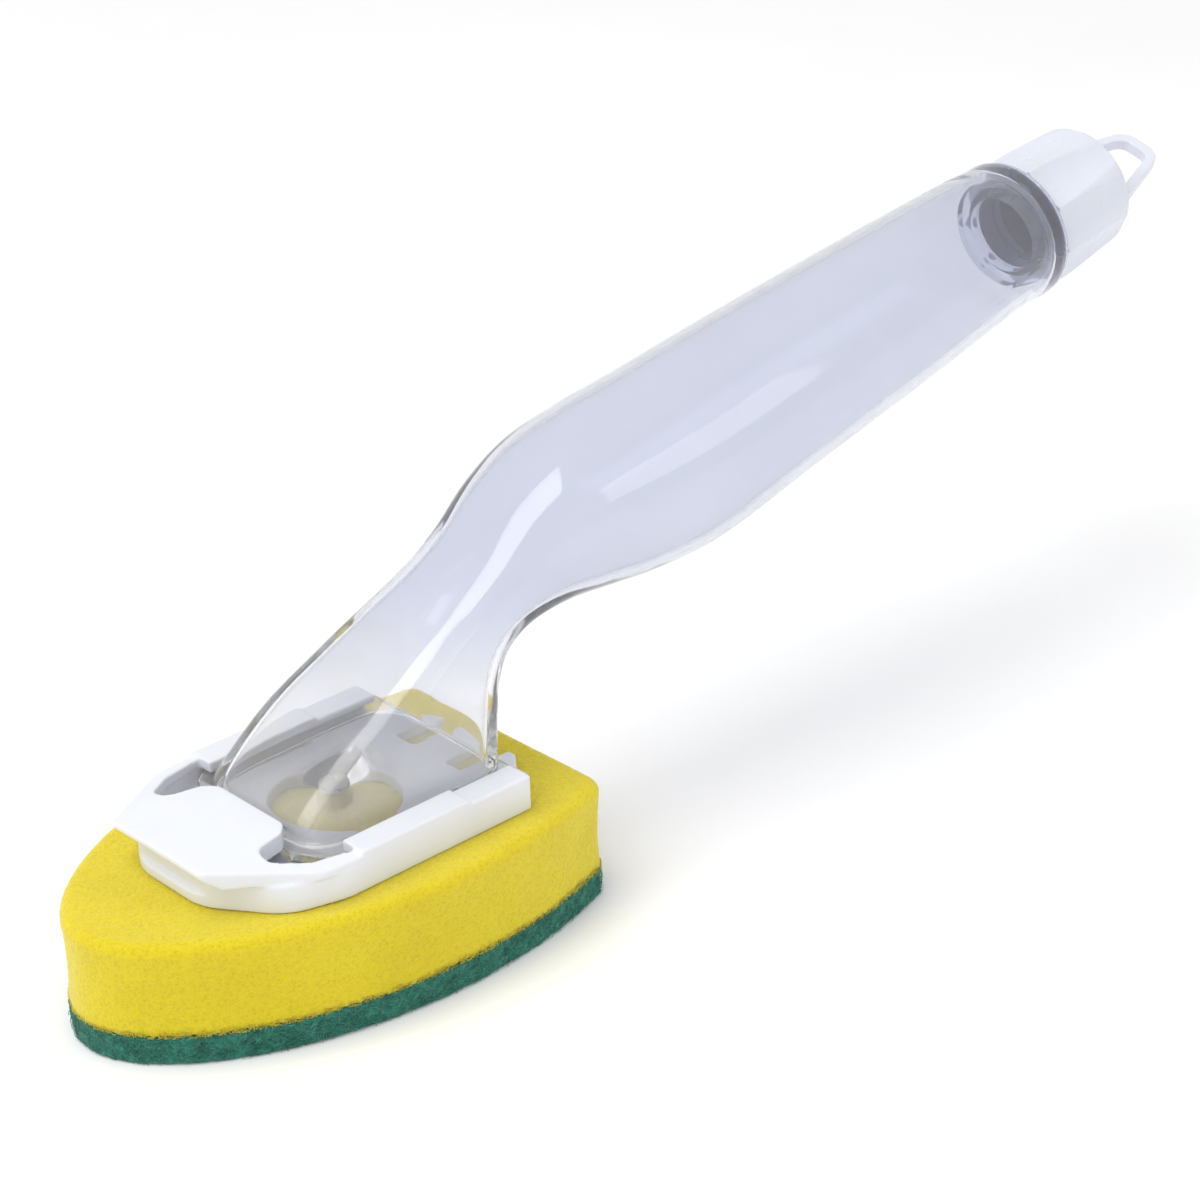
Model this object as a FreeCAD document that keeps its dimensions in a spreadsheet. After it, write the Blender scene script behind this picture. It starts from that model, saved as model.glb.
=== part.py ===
"""Dish-washing wand: a clear soap-filled handle with a screw cap and a slide-on sponge refill.

Millimetres. +Z is up, +X runs along the handle towards the cap and Y goes across it. The origin lies on
the axis of the soap outlet, at the flat underside of the scouring pad.
"""
import FreeCAD, Part
import math
import os
import Sketcher

DIMENSIONS = {
    # Sponge: a scouring pad bonded under a foam block, both with the outline of an iron.
    "pad_thickness": 5.4,
    "foam_top": 22.8,
    "sponge_tail": 40.0,
    "sponge_nose": -55.0,
    "tail_half_width": 25.2,
    "tail_corner": 3.0,
    "flank_pull": 48.0,
    "flank_bulge": 17.4,
    "nose_pull": 19.4,
    # Cradle: the moulded socket that is bonded to the foam.
    "floor_top": 25.0,
    "lip_underside": 28.1,
    "rail_top": 30.3,
    "rail_top_low": 29.6,
    "rail_half_width": 23.9,
    "channel_half_width": 21.6,
    "lip_half_width": 18.3,
    "rail_front": -13.0,
    "rail_step": 10.5,
    "rail_rear": 24.2,
    "floor_rear": 32.5,
    "floor_rear_half_width": 10.5,
    "floor_corner_half_width": 20.5,
    "notch_front": 21.0,
    "notch_inner": 4.2,
    "notch_outer": 8.6,
    "outlet_window_radius": 11.8,
    "slot_front": -12.5,
    "slot_rear": 9.5,
    "slot_inner": 17.8,
    "slot_outer": 21.4,
    "post_x": 28.5,
    "post_radius": 1.1,
    "post_height": 0.6,
    "skirt_front": -35.8,
    "skirt_front_half_width": 8.4,
    "skirt_cheek": -27.0,
    "skirt_cheek_half_width": 20.9,
    "skirt_shoulder": -16.5,
    "skirt_round": 11.0,
    "tongue_front": -37.8,
    "tongue_front_half_width": 12.2,
    "tongue_shoulder": -21.0,
    "tongue_shoulder_half_width": 23.4,
    "tongue_top": 31.7,
    "tongue_side": 29.5,
    "tongue_flat_half_width": 12.6,
    "tongue_lip_underside": 30.6,
    "tongue_overhang": 3.0,
    "tongue_round": 2.4,
    "lobe_rear": -17.8,
    "lobe_half_width": 11.2,
    "pocket_front": -26.5,
    "pocket_inner": 12.6,
    "pocket_outer": 18.6,
    # Foot of the handle: the flange that slides into the cradle.
    "sole_underside": 25.8,
    "sole_top": 27.8,
    "sole_front": -19.2,
    "sole_rear": 26.4,
    "sole_half_width": 21.3,
    "sole_nose_half_width": 12.0,
    "sole_cheek": -15.5,
    "outlet_radius": 1.6,
    "valve_flange_radius": 2.8,
    "valve_flange": 0.6,
    "valve_dome_top": 29.2,
    "valve_bore": 0.4,
    "handle_wall": 1.9,
    # Screw cap, its seal and the threaded neck, along the cap's own axis from its open rim.
    "cap_rim_x": 179.0,
    "cap_rim_z": 82.6,
    "cap_tilt": 9.6,
    "cap_turn": 19.0,
    "cap_rim_radius": 14.2,
    "cap_end_radius": 12.6,
    "cap_length": 21.4,
    "cap_end_round": 2.2,
    "cap_bore_radius": 10.9,
    "cap_bore_depth": 18.6,
    "flute_radius": 11.0,
    "flute_depth": 0.6,
    "flute_count": 9,
    "loop_reach": 19.0,
    "loop_root_half_width": 10.6,
    "loop_tip_half_width": 4.6,
    "loop_round": 4.0,
    "loop_rim": 2.3,
    "loop_thickness": 2.6,
    "seal_radius": 10.2,
    "seal_front": 17.0,
    "seal_thickness": 1.4,
    "neck_radius": 9.7,
    "neck_bore": 8.0,
    "neck_top": 16.9,
    "neck_root": -4.8,
    "neck_collar_radius": 11.6,
    "shoulder_end": -0.6,
    "shoulder_wall": 2.2,
    "thread_pitch": 4.0,
    "thread_height": 0.8,
    "thread_base": 1.7,
    "thread_crest": 0.8,
    "thread_start": 3.6,
    "cap_thread_start": 5.6,
    "thread_bite": 0.3,
}

# Sections of the handle from the foot to the shoulder: the front or upper point (x, z), the rear or lower
# point (x, z), the half width, how much wider the rear is than the front, and the squareness.
HANDLE_SECTIONS = [
    ((-17.4, 27.8), (26.2, 27.8), 17.1, 0.04, 6.0),
    ((-17.2, 30.8), (26.8, 32.5), 16.8, 0.04, 5.5),
    ((-6.4, 40.2), (28.0, 37.5), 16.0, 0.03, 4.8),
    ((4.3, 46.9), (29.8, 42.0), 14.5, 0.02, 4.2),
    ((13.8, 52.4), (32.8, 45.6), 13.2, 0.0, 3.7),
    ((23.3, 57.5), (37.0, 47.9), 12.6, 0.0, 3.3),
    ((32.5, 63.4), (42.0, 48.7), 13.0, 0.0, 3.0),
    ((41.2, 71.0), (48.5, 48.6), 14.6, 0.0, 2.6),
    ((51.0, 76.4), (57.0, 47.7), 16.6, 0.0, 2.35),
    ((63.5, 79.3), (68.5, 46.9), 18.0, 0.0, 2.25),
    ((78.0, 81.6), (83.0, 47.5), 18.4, 0.0, 2.2),
    ((104.0, 86.1), (109.0, 53.4), 17.6, 0.0, 2.15),
    ((140.0, 91.8), (144.8, 61.2), 16.0, 0.0, 2.1),
    ((166.0, 95.6), (170.6, 67.0), 14.8, 0.0, 2.0),
]
SHOULDER = [(-4.2, 14.5), (-1.8, 14.4), (-0.6, 13.9)]
# How far up each section, from its lower point, the parting line of the two handle shells lies.
PARTING_HEIGHTS = [0.11, 0.13, 0.17, 0.24, 0.33, 0.4, 0.44, 0.45, 0.45, 0.45, 0.45, 0.45, 0.46, 0.48]
PARTING_OVERRUN = 20.0
SECTION_POINTS = 36

document = FreeCAD.newDocument("dish_wand")
sheet = document.addObject("Spreadsheet::Sheet", "Dims")


def fill_sheet():
    """Write each driving dimension as a plain number with its alias."""
    for row, (alias, number) in enumerate(DIMENSIONS.items(), start=1):
        sheet.set(f"A{row}", alias)
        sheet.set(f"B{row}", str(number))
        sheet.setAlias(f"B{row}", alias)
    document.recompute()


class Size:
    """A length that knows its number and the sheet expression that gives it."""

    def __init__(self, number, text):
        self.number = number
        self.text = text

    def __add__(self, other):
        return Size(self.number + other.number, f"({self.text} + {other.text})")

    def __sub__(self, other):
        return Size(self.number - other.number, f"({self.text} - {other.text})")

    def __neg__(self):
        return Size(-self.number, f"(-{self.text})")

    def __mul__(self, factor):
        return Size(self.number * factor, f"({self.text} * {factor})")


def size(alias):
    return Size(sheet.get(alias), f"Dims.{alias}")


ZERO = Size(0.0, "0")


def bind(item, path, length):
    item.setExpression(path, length.text)


def pin_point(sketch, index, vertex, axis, length):
    """Fix one coordinate of a sketch point to a sheet expression."""
    if length.number == 0:
        other_axis = -2 if axis == "DistanceX" else -1
        sketch.addConstraint(Sketcher.Constraint("PointOnObject", index, vertex, other_axis))
        return
    number = sketch.addConstraint(Sketcher.Constraint(axis, -1, 1, index, vertex, length.number))
    sketch.setExpression(f"Constraints[{number}]", length.text)


def add_polygon(sketch, corners):
    """Draw a closed polygon whose corners are pairs of Size."""
    first = sketch.GeometryCount
    vectors = [FreeCAD.Vector(x.number, y.number, 0) for x, y in corners]
    for i, start in enumerate(vectors):
        sketch.addGeometry(Part.LineSegment(start, vectors[(i + 1) % len(vectors)]), False)
    for i, (x, y) in enumerate(corners):
        following = first + (i + 1) % len(corners)
        sketch.addConstraint(Sketcher.Constraint("Coincident", first + i, 2, following, 1))
        pin_point(sketch, first + i, 1, "DistanceX", x)
        pin_point(sketch, first + i, 1, "DistanceY", y)


def add_circle(sketch, x, y, radius):
    centre = FreeCAD.Vector(x.number, y.number, 0)
    index = sketch.addGeometry(Part.Circle(centre, FreeCAD.Vector(0, 0, 1), radius.number), False)
    pin_point(sketch, index, 3, "DistanceX", x)
    pin_point(sketch, index, 3, "DistanceY", y)
    number = sketch.addConstraint(Sketcher.Constraint("Radius", index, radius.number))
    sketch.setExpression(f"Constraints[{number}]", radius.text)


def new_body(label):
    body = document.addObject("PartDesign::Body", label + "_body")
    body.Label = label
    return body


def new_sketch(body, name, role, offset=ZERO):
    """A sketch on one of the body's origin planes, moved along the plane's normal."""
    sketch = body.newObject("Sketcher::SketchObject", name)
    plane = next(item for item in body.Origin.OriginFeatures if item.Role == role)
    sketch.AttachmentSupport = [(plane, "")]
    sketch.MapMode = "FlatFace"
    bind(sketch, "AttachmentOffset.Base.z", offset)
    return sketch


def pad(body, sketch, length, both_ways=False, reverse=False):
    feature = body.newObject("PartDesign::Pad", sketch.Name + "_pad")
    feature.Profile = sketch
    bind(feature, "Length", length)
    feature.Midplane = both_ways
    feature.Reversed = reverse
    document.recompute()
    return feature


def pocket(body, sketch, length, both_ways=False, reverse=False):
    """Cut a sketch out of the body and make sure that something was cut."""
    before = body.Shape.Volume
    feature = body.newObject("PartDesign::Pocket", sketch.Name + "_pocket")
    feature.Profile = sketch
    bind(feature, "Length", length)
    feature.Midplane = both_ways
    feature.Reversed = reverse
    document.recompute()
    if body.Shape.Volume > before - 1e-3:
        raise RuntimeError(f"{feature.Name} removed nothing")
    return feature


def revolve(body, sketch):
    feature = body.newObject("PartDesign::Revolution", sketch.Name + "_turned")
    feature.Profile = sketch
    feature.ReferenceAxis = (sketch, ["V_Axis"])
    feature.Angle = 360
    document.recompute()
    return feature


def round_edges(body, wanted, radius, name):
    """Fillet the edges of the body's tip that the test accepts."""
    tip = body.Tip
    edges = [f"Edge{i}" for i, edge in enumerate(tip.Shape.Edges, start=1) if wanted(edge)]
    feature = body.newObject("PartDesign::Fillet", name)
    feature.Base = (tip, edges)
    bind(feature, "Radius", radius)
    document.recompute()
    return feature


def level_edge(edge, height, tolerance=0.01):
    box = edge.BoundBox
    return abs(box.ZMin - height) < tolerance and abs(box.ZMax - height) < tolerance


def upright_edge(edge):
    box = edge.BoundBox
    return box.XLength < 0.01 and box.YLength < 0.01


def both_sides(corners):
    """Mirror an open run of corners about the X axis to close a polygon."""
    return corners + [(x, -y) for x, y in reversed(corners)]


# --- Sponge ---------------------------------------------------------------------------------------

def sponge_outline(name):
    """The outline of an iron: a straight tail and two bulging flanks that meet in a round nose."""
    tail = sheet.get("sponge_tail")
    nose = sheet.get("sponge_nose")
    half = sheet.get("tail_half_width")
    edges = [Part.makeLine(FreeCAD.Vector(tail, -half, 0), FreeCAD.Vector(tail, half, 0))]
    for side in (1, -1):
        flank = Part.BezierCurve()
        flank.setPoles([
            FreeCAD.Vector(tail, side * half, 0),
            FreeCAD.Vector(tail - sheet.get("flank_pull"), side * (half + sheet.get("flank_bulge")), 0),
            FreeCAD.Vector(nose, side * sheet.get("nose_pull"), 0),
            FreeCAD.Vector(nose, 0, 0),
        ])
        edges.append(flank.toShape())
    outline = document.addObject("Part::Feature", name)
    outline.Shape = Part.Wire(Part.__sortEdges__(edges))
    return outline


def make_slab(label, bottom, top):
    """A slab with the sponge's outline and rounded tail corners."""
    slab = document.addObject("Part::Extrusion", label + "_slab")
    slab.Base = sponge_outline(label + "_outline")
    slab.DirMode = "Custom"
    slab.Dir = FreeCAD.Vector(0, 0, 1)
    slab.Solid = True
    bind(slab, "LengthFwd", top - bottom)
    body = new_body(label)
    body.BaseFeature = slab
    bind(body, "Placement.Base.z", bottom)
    document.recompute()
    tail = sheet.get("sponge_tail")
    round_edges(body, lambda edge: upright_edge(edge) and edge.BoundBox.XMin > tail - 1,
                size("tail_corner"), label + "_corners")
    return body


def make_scouring_pad():
    return make_slab("scouring_pad", ZERO, size("pad_thickness"))


def make_foam_block():
    return make_slab("foam_block", size("pad_thickness"), size("foam_top"))


# --- Cradle ---------------------------------------------------------------------------------------

def skirt_corners(inset):
    """One side of the skirt from its front to the rear of the rails."""
    return [
        (size("skirt_front") + inset, size("skirt_front_half_width") - inset * 0.4),
        (size("skirt_cheek") + inset * 0.8, size("skirt_cheek_half_width") - inset * 0.6),
        (size("skirt_shoulder") + inset * 0.2, size("rail_half_width") - inset),
    ]


def make_cradle():
    body = new_body("refill_cradle")
    floor = new_sketch(body, "floor_outline", "XY_Plane", size("foam_top"))
    rail_half = size("rail_half_width")
    add_polygon(floor, both_sides(skirt_corners(ZERO) + [
        (size("rail_rear"), rail_half),
        (size("rail_rear"), size("floor_corner_half_width")),
        (size("floor_rear"), size("floor_rear_half_width")),
        (size("floor_rear"), size("notch_outer")),
        (size("notch_front"), size("notch_outer")),
        (size("notch_front"), size("notch_inner")),
        (size("floor_rear"), size("notch_inner")),
    ]))
    pad(body, floor, size("floor_top") - size("foam_top"))

    wall = new_sketch(body, "wall_outline", "XY_Plane", size("floor_top"))
    thickness = size("rail_half_width") - size("channel_half_width")
    outer = skirt_corners(ZERO) + [(size("rail_rear"), rail_half)]
    inner = skirt_corners(thickness) + [(size("rail_rear"), size("channel_half_width"))]
    mirrored_outer = [(x, -y) for x, y in outer]
    mirrored_inner = [(x, -y) for x, y in inner]
    add_polygon(wall, outer[::-1] + mirrored_outer + mirrored_inner[::-1] + inner)
    pad(body, wall, size("lip_underside") - size("floor_top"))
    rail_front = sheet.get("rail_front") - 1
    round_edges(body, lambda edge: upright_edge(edge) and edge.BoundBox.XMax < rail_front,
                size("skirt_round"), "skirt_rounding")

    for name, front, rear, top in (("bar", "rail_front", "rail_step", "rail_top"),
                                   ("step", "rail_step", "rail_rear", "rail_top_low")):
        lips = new_sketch(body, "rail_" + name, "XY_Plane", size("lip_underside"))
        for sign in (1, -1):
            add_polygon(lips, [
                (size(front), size("lip_half_width") * sign),
                (size(rear), size("lip_half_width") * sign),
                (size(rear), rail_half * sign),
                (size(front), rail_half * sign),
            ])
        pad(body, lips, size(top) - size("lip_underside"))

    tongue = new_sketch(body, "tongue_outline", "XY_Plane", size("lip_underside"))
    add_polygon(tongue, both_sides([
        (size("tongue_front"), size("tongue_front_half_width")),
        (size("tongue_shoulder"), size("tongue_shoulder_half_width")),
        (size("rail_front"), rail_half),
        (size("rail_front"), size("channel_half_width")),
        (size("tongue_shoulder"), size("pocket_outer") + thickness * 0.6),
        (size("pocket_front"), size("pocket_outer") - thickness),
        (size("pocket_front"), size("pocket_inner")),
        (size("lobe_rear") - thickness, size("lobe_half_width")),
        (size("lobe_rear"), size("lobe_half_width") - thickness),
    ]))
    pad(body, tongue, size("tongue_top") - size("lip_underside"))
    tongue_base = sheet.get("lip_underside") - 0.01
    round_edges(body, lambda edge: upright_edge(edge) and edge.BoundBox.XMax < rail_front
                and edge.BoundBox.ZMin > tongue_base, size("tongue_round"), "tongue_rounding")
    slope = new_sketch(body, "tongue_side_slopes", "YZ_Plane", size("tongue_front"))
    clear_of_top = size("tongue_top") + thickness
    for sign in (1, -1):
        add_polygon(slope, [
            (size("tongue_flat_half_width") * sign, size("tongue_top")),
            (rail_half * sign, size("tongue_side")),
            (rail_half * (1.2 * sign), size("tongue_side")),
            (rail_half * (1.2 * sign), clear_of_top),
            (size("tongue_flat_half_width") * sign, clear_of_top),
        ])
    pocket(body, slope, size("rail_front") - size("tongue_front"), reverse=True)
    under = new_sketch(body, "tongue_underside", "XZ_Plane")
    nose = size("tongue_front") - size("tongue_overhang")
    add_polygon(under, [
        (size("tongue_front") + size("tongue_overhang"), size("lip_underside") - size("tongue_overhang")),
        (size("tongue_front") + size("tongue_overhang"), size("lip_underside")),
        (size("tongue_front"), size("tongue_lip_underside")),
        (nose, size("tongue_lip_underside")),
        (nose, size("lip_underside") - size("tongue_overhang")),
    ])
    pocket(body, under, rail_half * 4, both_ways=True)

    window = new_sketch(body, "outlet_window", "XY_Plane", size("floor_top"))
    add_circle(window, ZERO, ZERO, size("outlet_window_radius"))
    pocket(body, window, size("floor_top") - size("foam_top"))
    slots = new_sketch(body, "floor_slots", "XY_Plane", size("floor_top"))
    for sign in (1, -1):
        add_polygon(slots, [
            (size("slot_front"), size("slot_inner") * sign),
            (size("slot_rear"), size("slot_inner") * sign),
            (size("slot_rear"), size("slot_outer") * sign),
            (size("slot_front"), size("slot_outer") * sign),
        ])
    pocket(body, slots, size("floor_top") - size("foam_top"))
    post = new_sketch(body, "latch_post", "XY_Plane", size("floor_top"))
    add_circle(post, size("post_x"), ZERO, size("post_radius"))
    pad(body, post, size("post_height"))
    return body


# --- Handle ---------------------------------------------------------------------------------------

def cap_axis():
    tilt = math.radians(sheet.get("cap_tilt"))
    return FreeCAD.Vector(math.cos(tilt), 0, math.sin(tilt))


def cap_centre(along):
    rim = FreeCAD.Vector(sheet.get("cap_rim_x"), 0, sheet.get("cap_rim_z"))
    return rim + cap_axis() * along


def section_curve(upper, lower, half_width, flare, squareness, inset):
    """A closed superellipse in the plane through Y and the line from the lower to the upper point."""
    top = FreeCAD.Vector(upper[0], 0, upper[1])
    bottom = FreeCAD.Vector(lower[0], 0, lower[1])
    centre = (top + bottom) * 0.5
    rise = (top - bottom) * 0.5
    reach = rise.Length - inset
    rise.normalize()
    across = half_width - inset
    points = []
    for i in range(SECTION_POINTS):
        angle = 2 * math.pi * i / SECTION_POINTS
        cosine = math.cos(angle)
        sine = math.sin(angle)
        up = math.copysign(abs(cosine) ** (2 / squareness), cosine)
        side = math.copysign(abs(sine) ** (2 / squareness), sine) * (1 - flare * up)
        points.append(centre + rise * (reach * up) + FreeCAD.Vector(0, across * side, 0))
    curve = Part.BSplineCurve()
    curve.interpolate(Points=points, PeriodicFlag=True, Parameters=list(range(SECTION_POINTS + 1)))
    return curve


def skin(curves):
    """A closed solid whose side is one smooth surface through section curves that share their knots."""
    centres = [curve.toShape().CenterOfMass for curve in curves]
    stations = [0.0]
    for before, after in zip(centres, centres[1:]):
        stations.append(stations[-1] + (after - before).Length)
    rows = []
    for column in zip(*(curve.getPoles() for curve in curves)):
        row = Part.BSplineCurve()
        row.interpolate(Points=list(column), Parameters=stations)
        rows.append(row)
    side = Part.BSplineSurface()
    side.buildFromPolesMultsKnots(
        [row.getPoles() for row in rows], curves[0].getMultiplicities(), rows[0].getMultiplicities(),
        curves[0].getKnots(), rows[0].getKnots(), True, False, curves[0].Degree, rows[0].Degree)
    ends = [Part.Face(Part.Wire(curve.toShape())) for curve in (curves[0], curves[-1])]
    shell = Part.Shell([side.toShape()] + ends)
    shell.sewShape()
    solid = Part.Solid(shell)
    if solid.Volume < 0:
        solid.reverse()
    return solid


def handle_solid(inset, end_inset):
    """The handle's outer form, or its cavity when inset by the wall."""
    curves = [section_curve(*section, inset) for section in HANDLE_SECTIONS]
    tilt = math.radians(sheet.get("cap_tilt"))
    for along, radius in SHOULDER:
        centre = cap_centre(along - end_inset)
        upper = (centre.x - radius * math.sin(tilt), centre.z + radius * math.cos(tilt))
        lower = (centre.x + radius * math.sin(tilt), centre.z - radius * math.cos(tilt))
        curves.append(section_curve(upper, lower, radius, 0.0, 2.0, inset))
    return skin(curves)


def lower_half_region():
    """Everything below and behind the parting line."""
    points = []
    for (upper, lower, *_), height in zip(HANDLE_SECTIONS, PARTING_HEIGHTS):
        bottom = FreeCAD.Vector(lower[0], 0, lower[1])
        top = FreeCAD.Vector(upper[0], 0, upper[1])
        points.append(bottom + (top - bottom) * height)
    points.append(cap_centre(PARTING_OVERRUN))
    line = Part.BSplineCurve()
    line.interpolate(Points=points)
    low_end = FreeCAD.Vector(points[-1].x, 0, 0)
    low_start = FreeCAD.Vector(points[0].x, 0, 0)
    outline = [line.toShape(), Part.makeLine(points[-1], low_end), Part.makeLine(low_end, low_start),
               Part.makeLine(low_start, points[0])]
    face = Part.Face(Part.Wire(outline))
    width = 4 * sheet.get("sole_half_width")
    face.translate(FreeCAD.Vector(0, -width / 2, 0))
    return face.extrude(FreeCAD.Vector(0, width, 0))


def sole_plate():
    """The flat flange of the foot, with the seat of the outlet valve bored through."""
    half = sheet.get("sole_half_width")
    nose = sheet.get("sole_nose_half_width")
    front = sheet.get("sole_front")
    cheek = sheet.get("sole_cheek")
    rear = sheet.get("sole_rear")
    bottom = sheet.get("sole_underside")
    corners = [(front, nose), (cheek, half - 2.5), (cheek + 3, half), (rear, half),
               (rear, -half), (cheek + 3, -half), (cheek, 2.5 - half), (front, -nose)]
    points = [FreeCAD.Vector(x, y, bottom) for x, y in corners]
    plate = Part.Face(Part.makePolygon(points + points[:1]))
    plate = plate.extrude(FreeCAD.Vector(0, 0, sheet.get("sole_top") - bottom))
    outlet = Part.makeCylinder(sheet.get("outlet_radius"), 10, FreeCAD.Vector(0, 0, bottom - 5))
    return plate.cut(outlet)


def make_handle_shells():
    wall = sheet.get("handle_wall")
    cavity = handle_solid(wall, sheet.get("shoulder_wall"))
    hollow = handle_solid(0.0, 0.0).cut(cavity)
    bore = Part.makeCylinder(sheet.get("neck_radius"), 20, cap_centre(-15), cap_axis())
    hollow = hollow.cut(bore)
    region = lower_half_region()
    lower = hollow.common(region).fuse(sole_plate()).removeSplitter()
    upper = hollow.cut(region)
    shells = []
    for label, shape in (("handle_lower_shell", lower), ("handle_upper_shell", upper)):
        shell = document.addObject("Part::Feature", label + "_feature")
        shell.Label = label
        shell.Shape = shape.Solids[0] if len(shape.Solids) == 1 else shape
        shells.append(shell)
    return shells


def make_outlet_valve():
    body = new_body("outlet_valve")
    profile = new_sketch(body, "valve_profile", "XZ_Plane")
    bore = size("valve_bore")
    stem = size("outlet_radius")
    flange = size("valve_flange_radius")
    inner_top = size("sole_top")
    add_polygon(profile, [
        (bore, size("sole_underside")),
        (stem, size("sole_underside")),
        (stem, inner_top),
        (flange, inner_top),
        (flange, inner_top + size("valve_flange")),
        (bore * 2.0, size("valve_dome_top")),
        (bore, size("valve_dome_top")),
    ])
    revolve(body, profile)
    return body


# --- Neck, seal and cap, in the cap's own frame with its axis along Z ------------------------------

def cap_placement(turn):
    """Stand the local Z axis along the cap's axis, turned about it."""
    upright = FreeCAD.Rotation(FreeCAD.Vector(0, 1, 0), 90 - sheet.get("cap_tilt"))
    spin = FreeCAD.Rotation(FreeCAD.Vector(0, 0, 1), turn)
    return FreeCAD.Placement(cap_centre(0), upright.multiply(spin))


def thread_ridge(name, root, height, start, outward):
    """One turn of a right-hand ridge on a cylinder."""
    helix = document.addObject("Part::Helix", name + "_helix")
    bind(helix, "Pitch", size("thread_pitch"))
    bind(helix, "Height", size("thread_pitch"))
    bind(helix, "Radius", root)
    bind(helix, "Placement.Base.z", start)
    profile = document.addObject("Sketcher::SketchObject", name + "_profile")
    profile.Placement = FreeCAD.Placement(FreeCAD.Vector(0, 0, 0),
                                          FreeCAD.Rotation(FreeCAD.Vector(1, 0, 0), 90))
    sign = 1 if outward else -1
    bite = root - size("thread_bite") * sign
    crest = root + height * sign
    half_base = size("thread_base") * 0.5
    half_crest = size("thread_crest") * 0.5
    add_polygon(profile, [
        (bite, start - half_base),
        (bite, start + half_base),
        (crest, start + half_crest),
        (crest, start - half_crest),
    ])
    document.recompute()
    ridge = document.addObject("Part::Sweep", name)
    ridge.Sections = [profile]
    ridge.Spine = (helix, ["Edge1"])
    ridge.Solid = True
    ridge.Frenet = True
    document.recompute()
    return ridge


def fuse(label, first, second):
    joined = document.addObject("Part::Fuse", label + "_joined")
    joined.Base = first
    joined.Tool = second
    joined.Label = label
    return joined


def make_neck():
    body = new_body("threaded_neck_tube")
    profile = new_sketch(body, "neck_profile", "XZ_Plane")
    collar_top = size("shoulder_end") - size("shoulder_wall")
    add_polygon(profile, [
        (size("neck_bore"), size("neck_root")),
        (size("neck_collar_radius"), size("neck_root")),
        (size("neck_collar_radius"), collar_top),
        (size("neck_radius"), collar_top),
        (size("neck_radius"), size("neck_top")),
        (size("neck_bore"), size("neck_top")),
    ])
    revolve(body, profile)
    ridge = thread_ridge("neck_thread", size("neck_radius"), size("thread_height"),
                         size("thread_start"), True)
    neck = fuse("threaded_neck", body, ridge)
    neck.Placement = cap_placement(0)
    return neck


def make_seal():
    body = new_body("cap_seal")
    outline = new_sketch(body, "seal_outline", "XY_Plane", size("seal_front"))
    add_circle(outline, ZERO, ZERO, size("seal_radius"))
    pad(body, outline, size("seal_thickness"))
    body.Placement = cap_placement(0)
    return body


def make_cap():
    body = new_body("screw_cap_shell")
    profile = new_sketch(body, "cap_profile", "XZ_Plane")
    add_polygon(profile, [
        (size("cap_bore_radius"), ZERO),
        (size("cap_rim_radius"), ZERO),
        (size("cap_end_radius"), size("cap_length")),
        (ZERO, size("cap_length")),
        (ZERO, size("cap_bore_depth")),
        (size("cap_bore_radius"), size("cap_bore_depth")),
    ])
    revolve(body, profile)
    length = sheet.get("cap_length")
    round_edges(body, lambda edge: level_edge(edge, length), size("cap_end_round"), "cap_end_rounding")

    flute = new_sketch(body, "flute_outline", "XY_Plane")
    centre = size("cap_end_radius") + size("flute_radius") - size("flute_depth")
    add_circle(flute, centre, ZERO, size("flute_radius"))
    cut = pocket(body, flute, size("cap_length"), reverse=True)
    pattern = body.newObject("PartDesign::PolarPattern", "flutes")
    pattern.Originals = [cut]
    pattern.Axis = (flute, ["N_Axis"])
    pattern.Angle = 360
    bind(pattern, "Occurrences", size("flute_count"))
    body.Tip = pattern
    document.recompute()

    loop = new_sketch(body, "loop_outline", "YZ_Plane")
    rim = size("loop_rim")
    base = size("cap_length") - rim
    tip = size("cap_length") + size("loop_reach")
    root_half = size("loop_root_half_width")
    tip_half = size("loop_tip_half_width")
    add_polygon(loop, [(root_half, base), (tip_half, tip), (-tip_half, tip), (-root_half, base)])
    add_polygon(loop, [
        (root_half - rim * 1.2, size("cap_length") - rim * 0.3),
        (tip_half - rim * 0.6, tip - rim),
        (rim * 0.6 - tip_half, tip - rim),
        (rim * 1.2 - root_half, size("cap_length") - rim * 0.3),
    ])
    pad(body, loop, size("loop_thickness"), both_ways=True)
    outer_tip = sheet.get("cap_length") + sheet.get("loop_reach")
    round_edges(body, lambda edge: edge.BoundBox.YLength < 0.01 and level_edge(edge, outer_tip),
                size("loop_round"), "loop_rounding")
    inner_tip = outer_tip - sheet.get("loop_rim")
    round_edges(body, lambda edge: edge.BoundBox.YLength < 0.01 and level_edge(edge, inner_tip),
                size("loop_rim"), "loop_eye_rounding")
    ridge = thread_ridge("cap_thread", size("cap_bore_radius"), size("thread_height"),
                         size("cap_thread_start"), False)
    cap = fuse("screw_cap", body, ridge)
    cap.Placement = cap_placement(sheet.get("cap_turn"))
    return cap


# --- Checks and files -----------------------------------------------------------------------------

def check_document():
    for item in document.Objects:
        if "Invalid" in item.State or "Error" in item.State:
            raise RuntimeError(f"{item.Name} is {item.State}")


def write_pieces(pieces):
    os.makedirs("parts", exist_ok=True)
    for piece in pieces:
        shape = piece.Shape
        if shape.isNull() or not shape.isValid():
            raise RuntimeError(f"{piece.Label} has no valid shape")
        print(piece.Label, len(shape.Solids), "solid", round(shape.Volume / 1000, 3), "cm3", shape.BoundBox)
        shape.exportStep(f"parts/{piece.Label}.step")


def main():
    fill_sheet()
    pieces = [make_scouring_pad(), make_foam_block(), make_cradle(), make_outlet_valve()]
    pieces += make_handle_shells()
    pieces += [make_neck(), make_seal(), make_cap()]
    document.recompute()
    check_document()
    write_pieces(pieces)


main()
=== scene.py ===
"""Dish-washing wand on a pale floor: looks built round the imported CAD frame. Metres, row frame."""
import math
import random

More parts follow.
